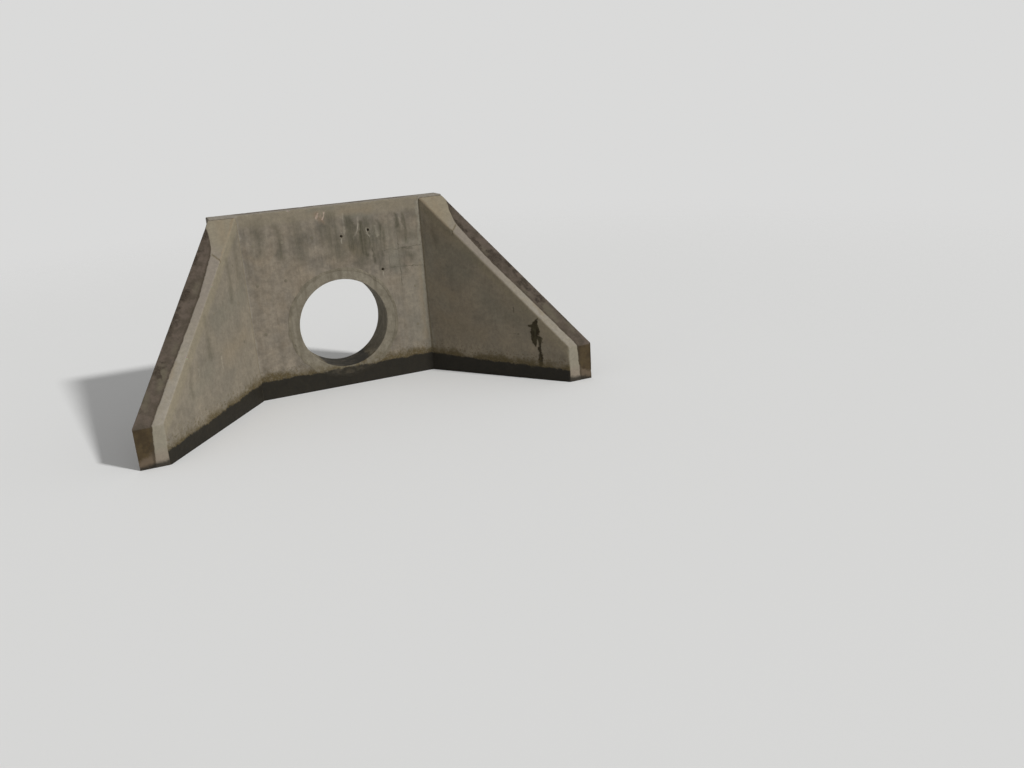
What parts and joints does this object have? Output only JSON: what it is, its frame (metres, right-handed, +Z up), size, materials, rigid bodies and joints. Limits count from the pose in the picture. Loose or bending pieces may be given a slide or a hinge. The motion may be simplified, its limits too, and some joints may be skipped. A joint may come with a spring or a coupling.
{
  "type": "culvert headwall",
  "caption": "Cast concrete culvert headwall with a round pipe opening and flared wing walls whose tops slope down to low upright ends.",
  "frame": {"origin": "the middle of the headwall's foot, halfway through the wall's thickness", "axes": "+X along the headwall, +Y back into the bank along the pipe, -Y out along the flow, +Z up"},
  "size_m": [6.516, 2.5356, 2.8],
  "materials": {
    "cast_concrete": "cast concrete with faint panel lines, weathered, with dark run-off streaks",
    "joint_board": "dark soaked filler board",
    "joint_sealant": "matt perished sealant",
    "pipe_concrete": "smooth spun concrete, wet below",
    "mortar": "rough trowelled mortar"
  },
  "bodies": {
    "root": {"headwall": "cast_concrete", "right_wing": "cast_concrete", "left_wing": "cast_concrete", "right_joint_filler": "joint_board", "left_joint_filler": "joint_board", "right_joint_sealant": "joint_sealant", "left_joint_sealant": "joint_sealant", "pipe_end": "pipe_concrete", "mortar_ring": "mortar"}
  },
  "joints": []
}
